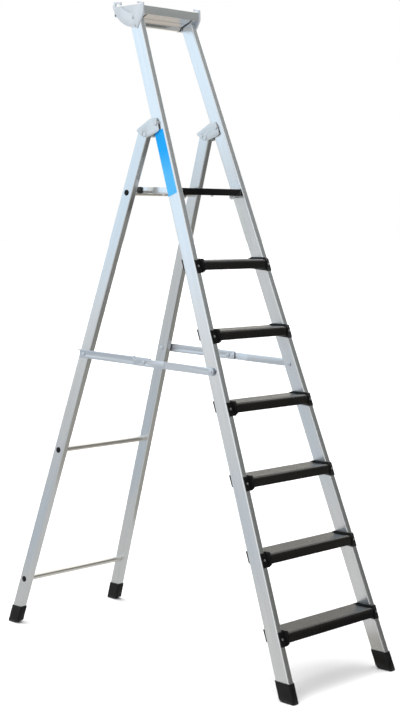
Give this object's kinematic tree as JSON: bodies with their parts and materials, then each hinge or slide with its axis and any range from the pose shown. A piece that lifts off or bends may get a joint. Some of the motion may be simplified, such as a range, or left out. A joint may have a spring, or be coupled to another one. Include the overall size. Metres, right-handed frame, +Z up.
{
  "type": "platform stepladder",
  "caption": "Folding one-sided aluminium stepladder with black treads, a tilting platform, a tool tray between its tall front stiles and spreader struts to the rear frame.",
  "frame": {"origin": "on the floor, under the middle of the ladder's bounding box", "axes": "+X to the climber's right, +Y from the climber towards the rear frame, +Z up"},
  "size_m": [0.5376, 1.4262, 2.3161],
  "materials": {
    "stile_aluminium": "satin",
    "sheet_aluminium": "satin",
    "black_tread": "satin",
    "black_moulding": "satin",
    "foot_rubber": "matte",
    "grey_moulding": "satin",
    "fastener_steel": "satin"
  },
  "bodies": {
    "front_frame": {"bracket_screws": "fastener_steel", "front_foot_left": "foot_rubber", "front_foot_right": "foot_rubber", "hinge_buffers": "black_moulding", "hinge_pins": "fastener_steel", "left_stile": "stile_aluminium", "platform_pivot_pins": "fastener_steel", "right_stile": "stile_aluminium", "strut_stile_rivets": "fastener_steel", "tray_cap_left": "grey_moulding", "tray_cap_right": "grey_moulding", "tray_cap_rivets": "fastener_steel", "tray_front_rail": "sheet_aluminium", "tray_rear_rail": "sheet_aluminium", "tray_trough": "sheet_aluminium", "tread_1": "black_tread", "tread_1_brackets": "black_moulding", "tread_2": "black_tread", "tread_2_brackets": "black_moulding", "tread_3": "black_tread", "tread_3_brackets": "black_moulding", "tread_4": "black_tread", "tread_4_brackets": "black_moulding", "tread_5": "black_tread", "tread_5_brackets": "black_moulding", "tread_6": "black_tread", "tread_6_brackets": "black_moulding"},
    "rear_frame": {"hinge_plate_inner_left": "sheet_aluminium", "hinge_plate_inner_right": "sheet_aluminium", "hinge_plate_outer_left": "sheet_aluminium", "hinge_plate_outer_right": "sheet_aluminium", "hinge_rivets": "fastener_steel", "left_rear_leg": "stile_aluminium", "rear_foot_left": "foot_rubber", "rear_foot_right": "foot_rubber", "rear_rung_bottom": "stile_aluminium", "rear_rung_middle": "stile_aluminium", "rear_rung_top": "stile_aluminium", "right_rear_leg": "stile_aluminium", "rung_plugs": "black_moulding", "strut_leg_rivets": "fastener_steel"},
    "platform": {"platform_deck": "sheet_aluminium", "platform_hook_left": "black_moulding", "platform_hook_right": "black_moulding", "platform_nosing": "black_moulding", "platform_side_left": "sheet_aluminium", "platform_side_right": "sheet_aluminium"},
    "front_strut_left": {"front_strut_left": "sheet_aluminium", "strut_middle_rivet_left": "fastener_steel"},
    "front_strut_right": {"front_strut_right": "sheet_aluminium", "strut_middle_rivet_right": "fastener_steel"},
    "rear_strut_left": {"rear_strut_left": "sheet_aluminium", "strut_end_rivet_left": "fastener_steel"},
    "rear_strut_right": {"rear_strut_right": "sheet_aluminium", "strut_end_rivet_right": "fastener_steel"}
  },
  "joints": [
    {"name": "frame_fold", "type": "hinge", "parent": "front_frame", "child": "rear_frame", "pos_m": [0, 0.00581, 1.8635], "axis": [-1, 0, 0], "range_deg": [0, 37]},
    {"name": "platform_tilt", "type": "hinge", "parent": "front_frame", "child": "platform", "pos_m": [0, -0.08753, 1.60911], "axis": [1, 0, 0], "range_deg": [0, 67]},
    {"name": "spreader_rise_left", "type": "hinge", "parent": "front_frame", "child": "front_strut_left", "pos_m": [-0.21306, -0.30594, 1.01389], "axis": [1, 0, 0], "range_deg": [0, 70.77]},
    {"name": "spreader_break_left", "type": "hinge", "parent": "front_strut_left", "child": "rear_strut_left", "pos_m": [-0.21306, 0.01699, 1.02362], "axis": [-1, 0, 0], "range_deg": [0, 165.72]},
    {"name": "spreader_rise_right", "type": "hinge", "parent": "front_frame", "child": "front_strut_right", "pos_m": [0.21306, -0.30594, 1.01389], "axis": [1, 0, 0], "range_deg": [0, 70.77]},
    {"name": "spreader_break_right", "type": "hinge", "parent": "front_strut_right", "child": "rear_strut_right", "pos_m": [0.21306, 0.01699, 1.02362], "axis": [-1, 0, 0], "range_deg": [0, 165.72]}
  ],
  "couplings": [
    {"joint": "platform_tilt", "follows": "frame_fold", "ratio": 1.8108},
    {"joint": "spreader_rise_left", "follows": "frame_fold", "ratio": 1.9128},
    {"joint": "spreader_break_left", "follows": "frame_fold", "ratio": 4.479},
    {"joint": "spreader_rise_right", "follows": "frame_fold", "ratio": 1.9128},
    {"joint": "spreader_break_right", "follows": "frame_fold", "ratio": 4.479}
  ]
}
